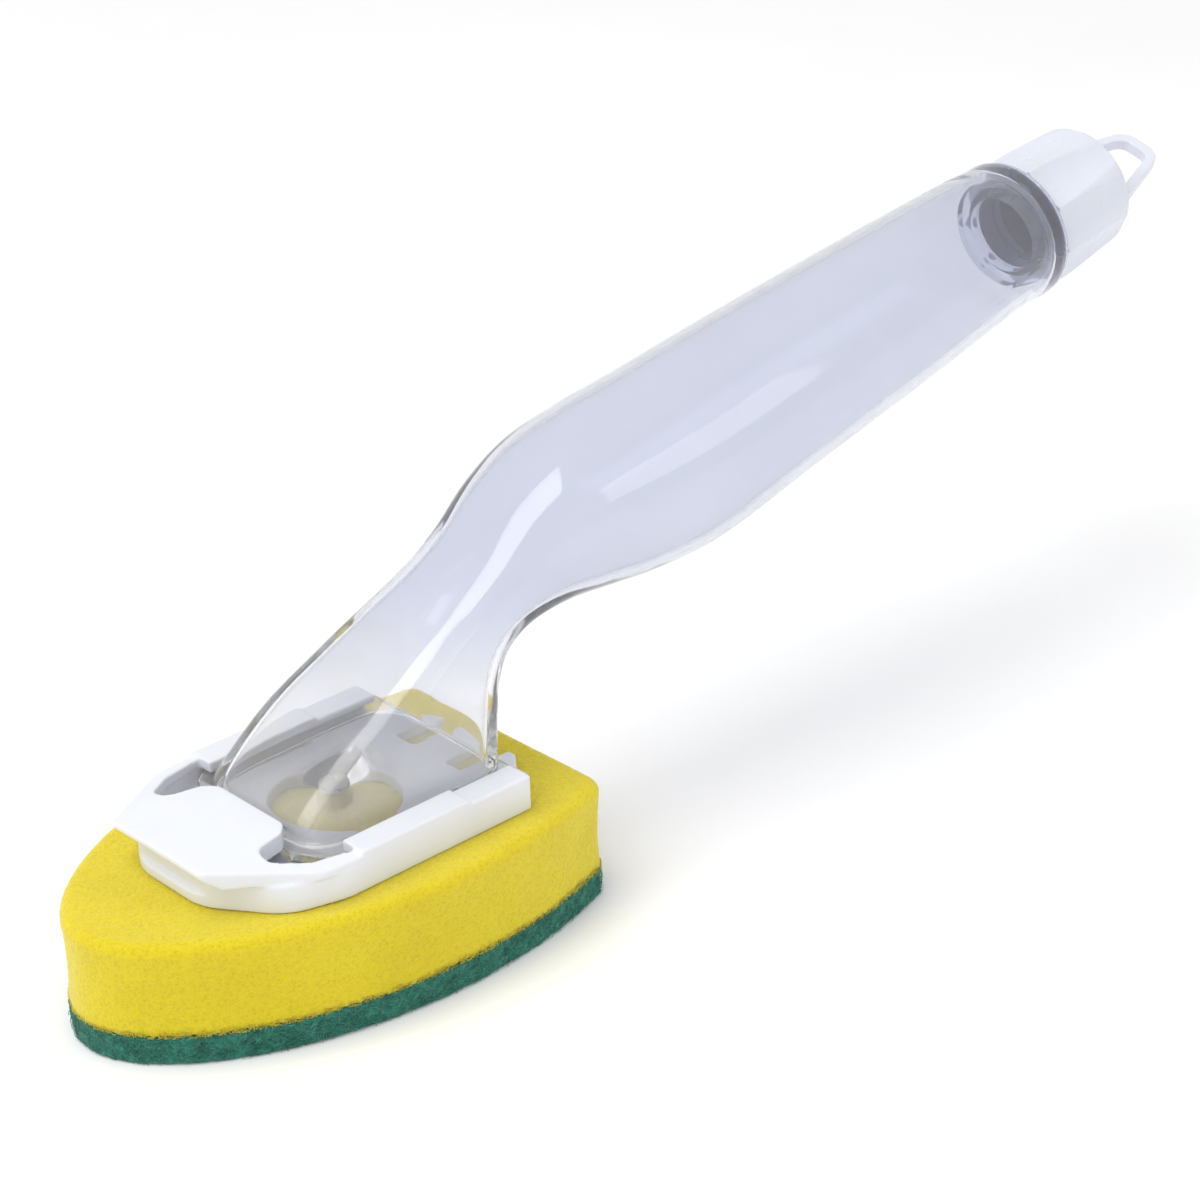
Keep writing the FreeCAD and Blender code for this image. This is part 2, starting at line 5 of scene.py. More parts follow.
import bpy
from mathutils import Matrix, Vector, noise


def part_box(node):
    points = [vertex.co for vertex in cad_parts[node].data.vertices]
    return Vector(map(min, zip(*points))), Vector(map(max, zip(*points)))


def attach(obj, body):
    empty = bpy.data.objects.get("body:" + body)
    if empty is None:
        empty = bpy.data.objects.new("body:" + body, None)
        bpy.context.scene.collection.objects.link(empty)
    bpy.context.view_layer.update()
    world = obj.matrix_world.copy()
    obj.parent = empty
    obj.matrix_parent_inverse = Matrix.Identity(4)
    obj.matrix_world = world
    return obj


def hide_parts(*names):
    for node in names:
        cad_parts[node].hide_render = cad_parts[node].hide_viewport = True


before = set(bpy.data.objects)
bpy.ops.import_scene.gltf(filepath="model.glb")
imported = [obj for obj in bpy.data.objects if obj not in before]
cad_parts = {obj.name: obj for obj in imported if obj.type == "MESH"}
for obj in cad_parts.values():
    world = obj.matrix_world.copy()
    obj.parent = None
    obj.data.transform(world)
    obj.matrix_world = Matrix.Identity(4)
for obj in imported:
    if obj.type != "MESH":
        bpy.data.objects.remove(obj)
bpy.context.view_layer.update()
MM = 0.001
random.seed(7)

# --- Camera and light -----------------------------------------------------------------------------

CAMERA_PLACE = Vector((-278.76, -373.74, 296.47)) * MM
CAMERA_TARGET = Vector((64.44, 1.06, 40.05)) * MM
CAMERA_ROLL = math.radians(1.58)
CAMERA_LENS, CAMERA_SENSOR = 92.70, 36  # millimetres
WORLD_STRENGTH = 0.80
# Name, place, aim, width, height (metres) and power (watts).
LIGHTS = [
    ("key", (-0.45, 0.15, 0.95), (0.06, 0, 0.04), 0.6, 0.9, 5.5),
    ("sheen", (0.45, -0.75, 0.55), (0.06, 0, 0.04), 0.45, 0.45, 0.8),
    ("rim", (-0.6, -0.35, 0.5), (0.06, 0, 0.06), 0.25, 0.5, 0.4),
]


def facing(place, target):
    return (Vector(target) - Vector(place)).to_track_quat("-Z", "Y")


def make_camera():
    data = bpy.data.cameras.new("camera")
    data.sensor_width = CAMERA_SENSOR
    data.lens = CAMERA_LENS
    data.clip_start, data.clip_end = 0.01, 20
    camera = bpy.data.objects.new("camera", data)
    bpy.context.scene.collection.objects.link(camera)
    turn = facing(CAMERA_PLACE, CAMERA_TARGET).to_matrix().to_4x4()
    roll = Matrix.Rotation(-CAMERA_ROLL, 4, "Z")
    camera.matrix_world = Matrix.Translation(CAMERA_PLACE) @ turn @ roll
    bpy.context.scene.camera = camera


def area_light(name, place, target, width, height, power):
    data = bpy.data.lights.new(name, "AREA")
    data.shape = "RECTANGLE"
    data.size, data.size_y = width, height
    data.energy = power
    light = bpy.data.objects.new(name, data)
    bpy.context.scene.collection.objects.link(light)
    light.location = place
    light.rotation_mode = "QUATERNION"
    light.rotation_quaternion = facing(place, target)


def make_world(strength):
    world = bpy.data.worlds.new("studio")
    bpy.context.scene.world = world
    world.use_nodes = True
    background = world.node_tree.nodes["Background"]
    background.inputs["Color"].default_value = (1, 1, 1, 1)
    background.inputs["Strength"].default_value = strength


# --- Materials ------------------------------------------------------------------------------------

# Most of a noise texture's values lie between these two.
NOISE_LOW, NOISE_HIGH = 0.3, 0.7
WHITE = (1, 1, 1)

# The grip's lavender is the plastic's own tint. The near-white foot is painted light: it lifts the
# shade that the clear walls cast on the cradle floor beneath.
CLEAR_FOOT_PAINTED_LIGHT, CLEAR_GRIP = (0.988, 0.989, 0.994), (0.81, 0.83, 0.905)
TINT_FROM, TINT_TO = 34 * MM, 56 * MM  # heights between which the foot's painted light, its paler tint, fades into the grip's own tint
CAP_WHITE, CRADLE_WHITE = (0.70, 0.73, 0.81), (0.78, 0.80, 0.85)
VALVE_SILICONE, SEAL_GREY = (0.90, 0.90, 0.89), (0.60, 0.60, 0.63)
FOAM_DARK, FOAM_LIGHT = (0.68, 0.55, 0.016), (0.75, 0.62, 0.022)
FOAM_CELLS = 1250  # per metre
PAD_DARK, PAD_LIGHT, PAD_SPECKS = (0.010, 0.13, 0.092), (0.028, 0.27, 0.19), (1.8, 1.5, 1.5)
STRAND_DARK, STRAND_LIGHT, STRAND_SPECKS = (0.03, 0.24, 0.17), (0.14, 0.46, 0.36), (1.5, 1.4, 1.4)


class Shader:
    """A principled material whose colour, roughness and bump are built from object-space textures.

    Socket names are keyword arguments, with underscores for their spaces.
    """

    def __init__(self, name):
        self.material = bpy.data.materials.new(name)
        self.material.use_nodes = True
        self.tree = self.material.node_tree
        self.out = self.tree.nodes["Principled BSDF"]
        self.place = self.node("ShaderNodeTexCoord").outputs["Object"]

    def node(self, kind, **inputs):
        made = self.tree.nodes.new(kind)
        self.fill(made, inputs)
        return made

    @staticmethod
    def fill(node, inputs):
        for key, value in inputs.items():
            node.inputs[key.replace("_", " ")].default_value = value

    def sockets(self, **values):
        self.fill(self.out, values)

    def link(self, source, target):
        self.tree.links.new(source, target)

    def noise(self, scale, detail=4.0, rough=0.55, distortion=0.0):
        """Noise at scale features per metre."""
        made = self.node("ShaderNodeTexNoise", Scale=scale, Detail=detail, Roughness=rough,
                         Distortion=distortion)
        self.link(self.place, made.inputs["Vector"])
        return made.outputs["Fac"]

    def cells(self, scale):
        made = self.node("ShaderNodeTexVoronoi", Scale=scale)
        self.link(self.place, made.inputs["Vector"])
        return made.outputs["Distance"]

    def ramp(self, source, *stops):
        """Colours along source; each stop is a position and a colour."""
        made = self.node("ShaderNodeValToRGB")
        self.link(source, made.inputs["Fac"])
        elements = made.color_ramp.elements
        while len(elements) < len(stops):
            elements.new(0.5)
        for element, (at, colour) in zip(elements, stops):
            element.position = at
            element.color = (*colour, 1)
        return made.outputs["Color"]

    def mottle(self, source, dark, light):
        return self.ramp(source, (NOISE_LOW, dark), (NOISE_HIGH, light))

    def spread(self, source, low, high):
        made = self.node("ShaderNodeMapRange", From_Min=NOISE_LOW, From_Max=NOISE_HIGH,
                         To_Min=low, To_Max=high)
        self.link(source, made.inputs["Value"])
        return made.outputs["Result"]

    def multiply(self, first, second):
        made = self.node("ShaderNodeMix")
        made.data_type, made.blend_type = "RGBA", "MULTIPLY"
        made.inputs["Factor"].default_value = 1
        self.link(first, made.inputs[6])
        self.link(second, made.inputs[7])
        return made.outputs[2]

    def bump(self, height, distance, strength, below=None):
        made = self.node("ShaderNodeBump", Distance=distance, Strength=strength)
        self.link(height, made.inputs["Height"])
        if below is not None:
            self.link(below, made.inputs["Normal"])
        return made.outputs["Normal"]

    def colour(self, source):
        self.link(source, self.out.inputs["Base Color"])

    def roughness(self, source):
        self.link(source, self.out.inputs["Roughness"])

    def normal(self, source):
        self.link(source, self.out.inputs["Normal"])


def shade(colour, factor):
    return tuple(channel * factor for channel in colour)


def moulded_plastic(name, colour, rough):
    s = Shader(name)
    s.colour(s.mottle(s.noise(70, 5), shade(colour, 0.955), colour))
    s.roughness(s.spread(s.noise(260, 4), rough * 0.8, rough * 1.25))
    grain = s.bump(s.noise(2200, 3), distance=0.02 * MM, strength=0.35)
    s.normal(s.bump(s.noise(45, 2), distance=0.4 * MM, strength=0.12, below=grain))
    s.sockets(Subsurface_Weight=0.12, Subsurface_Scale=0.003, Specular_IOR_Level=0.5,
              Coat_Weight=0.15, Coat_Roughness=0.2)
    return s.material


def clear_plastic(name, foot_painted_light, colour, rough, ior):
    """Clear plastic, paler at the foot than in the grip: the paler foot is painted light that lifts
    the shade the clear walls cast on the cradle floor seen through them.
    """
    s = Shader(name)
    height = s.node("ShaderNodeSeparateXYZ")
    s.link(s.place, height.inputs["Vector"])
    rise = s.node("ShaderNodeMapRange")
    rise.interpolation_type = "SMOOTHSTEP"
    rise.inputs["From Min"].default_value = TINT_FROM
    rise.inputs["From Max"].default_value = TINT_TO
    s.link(height.outputs["Z"], rise.inputs["Value"])
    # Painted light towards the foot: the tint pales below TINT_TO so that the cradle floor seen
    # through it looks less shaded. Above that the grip keeps the plastic's own tint.
    tint_and_painted_light = s.ramp(rise.outputs["Result"], (0.0, foot_painted_light), (1.0, colour))
    s.colour(s.multiply(tint_and_painted_light, s.mottle(s.noise(28, 3, 0.5, 0.6), (0.96, 0.96, 0.97), WHITE)))
    s.roughness(s.spread(s.noise(60, 4), rough * 0.6, rough * 1.5))
    ripple = s.bump(s.noise(38, 2, 0.4), distance=0.5 * MM, strength=0.25)
    s.normal(s.bump(s.noise(900, 3), distance=0.01 * MM, strength=0.2, below=ripple))
    s.sockets(Transmission_Weight=0.93, IOR=ior, Coat_Weight=0.8, Coat_Roughness=0.06,
              Coat_IOR=1.5)
    return s.material


def soft_rubber(name, colour, rough, transmission=0.0):
    s = Shader(name)
    s.colour(s.mottle(s.noise(400, 4), shade(colour, 0.88), colour))
    s.roughness(s.spread(s.noise(700, 3), rough * 0.85, rough * 1.15))
    s.normal(s.bump(s.cells(2600), distance=0.05 * MM, strength=0.4))
    s.sockets(Transmission_Weight=transmission, Subsurface_Weight=0.2, Subsurface_Scale=0.002)
    return s.material


def open_cell_foam(name):
    s = Shader(name)
    tone = s.ramp(s.noise(55, 4), (0.28, FOAM_DARK), (0.72, FOAM_LIGHT))
    # Painted shade: the colour turns darker and deeper yellow towards each foam cell's centre, in
    # the hollows of the pores.
    pore_shade = s.ramp(s.cells(FOAM_CELLS), (0.0, (0.86, 0.82, 0.60)), (0.30, (0.96, 0.95, 0.88)),
                   (0.6, WHITE))
    fine = s.ramp(s.noise(3400, 4, 0.6), (0.34, (0.90, 0.87, 0.76)), (0.55, WHITE))
    s.colour(s.multiply(s.multiply(tone, pore_shade), fine))
    s.roughness(s.spread(s.noise(900, 3), 0.82, 0.98))
    cells = s.bump(s.cells(FOAM_CELLS), distance=0.4 * MM, strength=0.55)
    s.normal(s.bump(s.noise(3400, 3), distance=0.16 * MM, strength=0.4, below=cells))
    s.sockets(Subsurface_Weight=0.35, Subsurface_Scale=0.004, Subsurface_Radius=(1.0, 0.8, 0.15),
              Sheen_Weight=0.25, Sheen_Roughness=0.5, Specular_IOR_Level=0.2)
    return s.material


def scourer_fibre(name, dark, light, specks):
    s = Shader(name)
    body = s.ramp(s.noise(420, 6, 0.65, 0.8), (0.33, dark), (0.62, light))
    grit = s.ramp(s.noise(2600, 5, 0.7), (0.36, (0.55, 0.6, 0.58)), (0.52, WHITE), (0.74, specks))
    s.colour(s.multiply(body, grit))
    s.roughness(s.spread(s.noise(1500, 3), 0.62, 0.92))
    web = s.bump(s.noise(900, 6, 0.75, 1.2), distance=0.8 * MM, strength=0.8)
    s.normal(s.bump(s.noise(4200, 4), distance=0.2 * MM, strength=0.6, below=web))
    s.sockets(Specular_IOR_Level=0.3, Sheen_Weight=0.1)
    return s.material


def studio_floor(name):
    s = Shader(name)
    s.colour(s.mottle(s.noise(14, 3), (0.965, 0.965, 0.967), (0.98, 0.98, 0.982)))
    s.roughness(s.spread(s.noise(30, 3), 0.55, 0.7))
    s.normal(s.bump(s.noise(1200, 3), distance=0.03 * MM, strength=0.1))
    return s.material


# --- Foam and scouring pad ------------------------------------------------------------------------

TAIL_X, NOSE_X = 40.0 * MM, -55.0 * MM
TAIL_HALF, TAIL_CORNER = 25.2 * MM, 3.0 * MM
FLANK_PULL, FLANK_BULGE, NOSE_PULL = 48.0 * MM, 17.4 * MM, 19.4 * MM
FLANK_STEPS, CORNER_STEPS, TAIL_STEPS = 400, 12, 40

FOAM_STEP, FOAM_SIDE_ROWS, FOAM_FACE_RINGS = 0.55 * MM, 26, 44
FOAM_INSET, FOAM_WAIST = 0.05 * MM, 0.35 * MM
FOAM_FOOT, FOAM_ROUNDING, FOAM_ROUNDING_STEPS = 0.35 * MM, 2.0 * MM, 7
RAGGED_HEIGHT = 1.6 * MM  # how far up the foam's cut lower edge is ragged

PAD_STEP, PAD_SIDE_ROWS, PAD_FACE_RINGS = 0.45 * MM, 10, 50
PAD_INSET, PAD_WAIST = 0.05 * MM, 0.12 * MM

# Relief as (features per metre, height).
FOAM_SWELL, FOAM_SWELL_MOST = [(55, 0.25 * MM)], 0.05 * MM
FOAM_PORES = [(900, 0.09 * MM), (1900, 0.05 * MM)]
FOAM_RAGGED = [(700, 0.32 * MM), (1700, 0.2 * MM)]
PAD_WEB = [(380, 0.22 * MM), (1100, 0.2 * MM), (2300, 0.12 * MM)]

FIBRE_SEGMENTS, FIBRE_SIDES = 5, 3
FIBRE_OUTLINE_STEP = 0.5 * MM


def mesh_piece(name, points, faces, body, material, replaced=()):
    mesh = bpy.data.meshes.new(name)
    mesh.from_pydata(points, [], faces)
    mesh.validate()
    mesh.update()
    mesh.shade_smooth()
    mesh.materials.append(material)
    piece = bpy.data.objects.new(name, mesh)
    bpy.context.scene.collection.objects.link(piece)
    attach(piece, body)
    if replaced:
        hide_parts(*replaced)
    return piece


def bezier(points, t):
    a, b, c, d = points
    u = 1 - t
    return a * (u ** 3) + b * (3 * u * u * t) + c * (3 * u * t * t) + d * (t ** 3)


def sponge_outline(step):
    """The iron-shaped outline, evenly stepped, with the tail's corners rounded."""
    flank_controls = [
        Vector((TAIL_X, TAIL_HALF)),
        Vector((TAIL_X - FLANK_PULL, TAIL_HALF + FLANK_BULGE)),
        Vector((NOSE_X, NOSE_PULL)),
        Vector((NOSE_X, 0)),
    ]
    half = [bezier(flank_controls, i / FLANK_STEPS) for i in range(FLANK_STEPS + 1)]
    corner = half[0]
    start = corner + Vector((0, -TAIL_CORNER))
    end = corner + (half[8] - corner).normalized() * TAIL_CORNER
    arc = []
    for i in range(CORNER_STEPS + 1):
        t = i / CORNER_STEPS
        arc.append(start * (1 - t) ** 2 + corner * (2 * t * (1 - t)) + end * t * t)
    flank = [p for p in half if (p - corner).length > TAIL_CORNER * 1.02]
    tail = [Vector((TAIL_X, start.y * i / TAIL_STEPS)) for i in range(TAIL_STEPS)]
    upper = tail + arc + flank
    return resample(upper + [Vector((p.x, -p.y)) for p in upper[-2:0:-1]], step)


def resample(loop, step):
    closed = loop + [loop[0]]
    lengths = [0.0]
    for a, b in zip(closed, closed[1:]):
        lengths.append(lengths[-1] + (b - a).length)
    count = round(lengths[-1] / step)
    out, k = [], 0
    for i in range(count):
        at = lengths[-1] * i / count
        while lengths[k + 1] < at:
            k += 1
        t = (at - lengths[k]) / (lengths[k + 1] - lengths[k])
        out.append(closed[k].lerp(closed[k + 1], t))
    return out


def outward_normals(loop):
    """Normals of a loop that runs anticlockwise."""
    out = []
    count = len(loop)
    for i in range(count):
        along = loop[(i + 2) % count] - loop[(i - 2) % count]
        out.append(Vector((along.y, -along.x)).normalized())
    return out


def relief(p, octaves):
    return sum(noise.noise(p * scale) * height for scale, height in octaves)


def slab_mesh(loop, profile, rings, displace):
    """A closed slab: its side follows profile, a list of (inset, z); its faces close in rings."""
    normals = outward_normals(loop)
    middle = sum(loop, Vector((0, 0))) / len(loop)
    count = len(loop)

    def row_at(inset, z, inwards=0.0):
        return [(p - n * inset).lerp(middle, inwards).to_3d() + Vector((0, 0, z))
                for p, n in zip(loop, normals)]

    inwards = [k / (rings + 1) for k in range(1, rings + 1)]
    rows = [row_at(*profile[0], share) for share in reversed(inwards)]
    rows += [row_at(inset, z) for inset, z in profile]
    rows += [row_at(*profile[-1], share) for share in inwards]

    points, faces = [], []
    first_side, last_side = rings, rings + len(profile) - 1
    for r, row in enumerate(rows):
        out = 1.0 if first_side <= r <= last_side else 0.0
        up = 1.0 if r >= last_side else (-1.0 if r <= first_side else 0.0)
        for p, normal in zip(row, normals):
            direction = (normal.to_3d() * out + Vector((0, 0, up * (1 - 0.5 * out)))).normalized()
            points.append(displace(p, direction))
    for r in range(len(rows) - 1):
        for i in range(count):
            a, b = r * count + i, r * count + (i + 1) % count
            faces.append((a, b, b + count, a + count))
    for row, flip in ((0, True), (len(rows) - 1, False)):
        centre = len(points)
        points.append(sum(points[row * count:(row + 1) * count], Vector()) / count)
        for i in range(count):
            a, b = row * count + i, row * count + (i + 1) % count
            faces.append((b, a, centre) if flip else (a, b, centre))
    return points, faces


def make_foam(material):
    low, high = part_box("foam_block")
    bottom, top = low.z, high.z
    side_bottom, side_top = bottom + FOAM_FOOT, top - FOAM_ROUNDING
    profile = [(FOAM_FOOT, bottom + FOAM_INSET)]
    for k in range(FOAM_SIDE_ROWS + 1):
        t = k / FOAM_SIDE_ROWS
        waist = FOAM_WAIST * math.sin(math.pi * t)
        profile.append((FOAM_INSET + waist, side_bottom + (side_top - side_bottom) * t))
    for k in range(1, FOAM_ROUNDING_STEPS + 1):
        angle = math.pi / 2 * k / FOAM_ROUNDING_STEPS
        profile.append((FOAM_INSET + FOAM_ROUNDING * (1 - math.cos(angle)),
                        side_top + FOAM_ROUNDING * math.sin(angle)))

    def displace(p, direction):
        move = min(relief(p, FOAM_SWELL), FOAM_SWELL_MOST) + relief(p, FOAM_PORES)
        near = (p.z - bottom) / RAGGED_HEIGHT
        if near < 1 and direction.z < 0.4:
            move += (1 - near) * relief(p, FOAM_RAGGED)
        q = p + direction * move
        q.z = min(q.z, top)
        return q

    points, faces = slab_mesh(sponge_outline(FOAM_STEP), profile, FOAM_FACE_RINGS, displace)
    piece = mesh_piece("foam_sponge", points, faces, "refill", material,
                       ["foam_block"])


def make_pad(material):
    low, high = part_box("scouring_pad")
    bottom, top = low.z, high.z
    profile = [(0.5 * MM, bottom), (0.2 * MM, bottom + 0.3 * MM)]
    for k in range(1, PAD_SIDE_ROWS):
        t = k / PAD_SIDE_ROWS
        waist = PAD_WAIST * math.sin(math.pi * t)
        profile.append((PAD_INSET + waist, bottom + (top - bottom) * t))
    profile += [(0.1 * MM, top - 0.25 * MM), (0.35 * MM, top)]

    def displace(p, direction):
        q = p + direction * relief(p, PAD_WEB)
        q.z = min(max(q.z, bottom), top)
        return q

    points, faces = slab_mesh(sponge_outline(PAD_STEP), profile, PAD_FACE_RINGS, displace)
    piece = mesh_piece("scouring_pad_web", points, faces, "refill", material,
                       ["scouring_pad"])


def fibre_tubes(count, place, length, radius):
    """Short bent fibres, each starting where place() says: a point and an outward direction."""
    points, faces = [], []
    for _ in range(count):
        start, out = place()
        side = Vector((-out.y, out.x, 0)).normalized()
        along = (side * random.uniform(-1, 1) + Vector((0, 0, random.uniform(-0.7, 0.7)))
                 + out * random.uniform(-0.15, 0.25)).normalized()
        reach = length * random.uniform(0.5, 1.0)
        bow = random.uniform(0.05, 0.22) * reach
        thick = radius * random.uniform(0.7, 1.2)
        across = along.cross(out).normalized()
        first = len(points)
        for k in range(FIBRE_SEGMENTS + 1):
            t = k / FIBRE_SEGMENTS
            centre = start + along * (reach * (t - 0.5)) + out * (bow * math.sin(math.pi * t))
            for c in range(FIBRE_SIDES):
                angle = 2 * math.pi * c / FIBRE_SIDES
                points.append(centre + across * (thick * math.cos(angle))
                              + out * (thick * math.sin(angle)))
        for k in range(FIBRE_SEGMENTS):
            for c in range(FIBRE_SIDES):
                a = first + k * FIBRE_SIDES + c
                b = first + k * FIBRE_SIDES + (c + 1) % FIBRE_SIDES
                faces.append((a, b, b + FIBRE_SIDES, a + FIBRE_SIDES))
        last = first + FIBRE_SEGMENTS * FIBRE_SIDES
        faces.append(tuple(reversed(range(first, first + FIBRE_SIDES))))
        faces.append(tuple(range(last, last + FIBRE_SIDES)))
    return points, faces


def edge_fibres(name, material, low, high, count, length, radius, sink):
    """Short fibres lying along the slab's side between two heights."""
    loop = sponge_outline(FIBRE_OUTLINE_STEP)
    normals = outward_normals(loop)

    def place():
        i = random.randrange(len(loop))
        start = (loop[i] - normals[i] * sink).to_3d() + Vector((0, 0, random.uniform(low, high)))
        return start, normals[i].to_3d()

    points, faces = fibre_tubes(count, place, length, radius)
    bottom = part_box("scouring_pad")[0].z
    points = [Vector((p.x, p.y, max(p.z, bottom))) for p in points]
    mesh_piece(name, points, faces, "refill", material)


# --- Clear handle ---------------------------------------------------------------------------------

# Sections from foot to shoulder as (upper x, z, lower x, z, half width, flare, squareness, height
# of the welded seam above the lower point), in millimetres.
HANDLE_SECTIONS = [
    (-17.4, 27.8, 26.2, 27.8, 17.1, 0.04, 6.0, 0.11),
    (-17.2, 30.8, 26.8, 32.5, 16.8, 0.04, 5.5, 0.13),
    (-6.4, 40.2, 28.0, 37.5, 16.0, 0.03, 4.8, 0.17),
    (4.3, 46.9, 29.8, 42.0, 14.5, 0.02, 4.2, 0.24),
    (13.8, 52.4, 32.8, 45.6, 13.2, 0.0, 3.7, 0.33),
    (23.3, 57.5, 37.0, 47.9, 12.6, 0.0, 3.3, 0.40),
    (32.5, 63.4, 42.0, 48.7, 13.0, 0.0, 3.0, 0.44),
    (41.2, 71.0, 48.5, 48.6, 14.6, 0.0, 2.6, 0.45),
    (51.0, 76.4, 57.0, 47.7, 16.6, 0.0, 2.35, 0.45),
    (63.5, 79.3, 68.5, 46.9, 18.0, 0.0, 2.25, 0.45),
    (78.0, 81.6, 83.0, 47.5, 18.4, 0.0, 2.2, 0.45),
    (104.0, 86.1, 109.0, 53.4, 17.6, 0.0, 2.15, 0.45),
    (140.0, 91.8, 144.8, 61.2, 16.0, 0.0, 2.1, 0.46),
    (166.0, 95.6, 170.6, 67.0, 14.8, 0.0, 2.0, 0.48),
]
# Round sections at the shoulder as (distance along the cap's axis from its rim, radius).
SHOULDER = [(-4.2, 14.5), (-1.8, 14.4), (-0.6, 13.9)]
CAP_RIM, CAP_TILT = (179.0, 82.6), math.radians(9.6)
WALL, END_WALL, NECK_RADIUS = 1.9, 2.2, 9.7
SOLE_OUTLINE = [(-19.2, 12.0), (-15.5, 18.8), (-12.5, 21.3), (26.4, 21.3)]
SOLE_BOTTOM, SOLE_TOP, OUTLET_RADIUS = 25.8, 27.8, 1.6
SEAM_PROUD, SEAM_SPREAD = 0.07, 0.35
FOOT_GAP = 0.02  # keeps the tube's foot off the sole plate
HANDLE_STEP, HANDLE_COLUMNS, SOLE_COLUMNS = 0.8, 240, 720


def shoulder_section(along, radius):
    x, z = CAP_RIM[0] + along * math.cos(CAP_TILT), CAP_RIM[1] + along * math.sin(CAP_TILT)
    dx, dz = radius * math.sin(CAP_TILT), radius * math.cos(CAP_TILT)
    return (x - dx, z + dz, x + dx, z - dz, radius, 0.0, 2.0, 0.5)


def smooth_sections(sections, step):
    """Catmull-Rom through the sections, with knots spaced by the distance between their centres."""
    def centre(section):
        return Vector(((section[0] + section[2]) / 2, (section[1] + section[3]) / 2))

    at = [0.0]
    for a, b in zip(sections, sections[1:]):
        at.append(at[-1] + (centre(b) - centre(a)).length)

    def slope(i, k):
        low, high = max(i - 1, 0), min(i + 1, len(sections) - 1)
        return (sections[high][k] - sections[low][k]) / (at[high] - at[low])

    out = []
    last = len(sections) - 2
    for i in range(last + 1):
        gap = at[i + 1] - at[i]
        count = max(2, round(gap / step))
        for j in range(count + (i == last)):
            t = j / count
            from_start, from_end = 2 * t ** 3 - 3 * t ** 2 + 1, 3 * t ** 2 - 2 * t ** 3
            start_slope, end_slope = (t ** 3 - 2 * t ** 2 + t) * gap, (t ** 3 - t ** 2) * gap
            out.append(tuple(
                from_start * sections[i][k] + start_slope * slope(i, k)
                + from_end * sections[i + 1][k] + end_slope * slope(i + 1, k)
                for k in range(len(sections[i]))))
    return out


def section_ring(section, inset=0.0, seam=0.0):
    """A superellipse ring; seam is how far the welded seam stands proud."""
    ux, uz, lx, lz, half_width, flare, squareness, seam_height = section
    centre = Vector(((ux + lx) / 2, 0, (uz + lz) / 2))
    rise = Vector(((ux - lx) / 2, 0, (uz - lz) / 2))
    reach = rise.length - inset
    rise.normalize()
    seam_level = (2 * seam_height - 1) * reach
    ring = []
    for i in range(HANDLE_COLUMNS):
        angle = 2 * math.pi * i / HANDLE_COLUMNS
        cosine, sine = math.cos(angle), math.sin(angle)
        up = math.copysign(abs(cosine) ** (2 / squareness), cosine)
        side = math.copysign(abs(sine) ** (2 / squareness), sine) * (1 - flare * up)
        ridge = seam * math.exp(-((up * reach - seam_level) / SEAM_SPREAD) ** 2)
        across = (half_width - inset) * side + math.copysign(ridge, sine)
        ring.append((centre + rise * (reach * up) + Vector((0, across, 0))) * MM)
    return ring


def outline_ring(corners, inset, z):
    """The ring of a convex outline at height z, one point for each direction from the origin."""
    edges = []
    for a, b in zip(corners, corners[1:] + corners[:1]):
        outward = Vector((b[1] - a[1], a[0] - b[0])).normalized()
        distance = outward.dot(Vector(a))
        edges.append((outward, distance) if distance > 0 else (-outward, -distance))
    ring = []
    for i in range(SOLE_COLUMNS):
        angle = 2 * math.pi * i / SOLE_COLUMNS
        ray = Vector((math.cos(angle), math.sin(angle)))
        reach = min((distance - inset) / ray.dot(outward)
                    for outward, distance in edges if ray.dot(outward) > 1e-6)
        ring.append(Vector((ray.x * reach, ray.y * reach, z)) * MM)
    return ring


def hole_ring(radius, z):
    angles = [2 * math.pi * i / SOLE_COLUMNS for i in range(SOLE_COLUMNS)]
    return [Vector((radius * math.cos(a), radius * math.sin(a), z)) * MM for a in angles]


def join_rings(rings, points, faces):
    """Joins rings into one closed tube whose last ring meets its first."""
    first, count = len(points), len(rings[0])
    for ring in rings:
        points.extend(ring)
    for r in range(len(rings)):
        for i in range(count):
            j = (i + 1) % count
            a, b = first + r * count, first + (r + 1) % len(rings) * count
            faces.append((a + i, a + j, b + j, b + i))


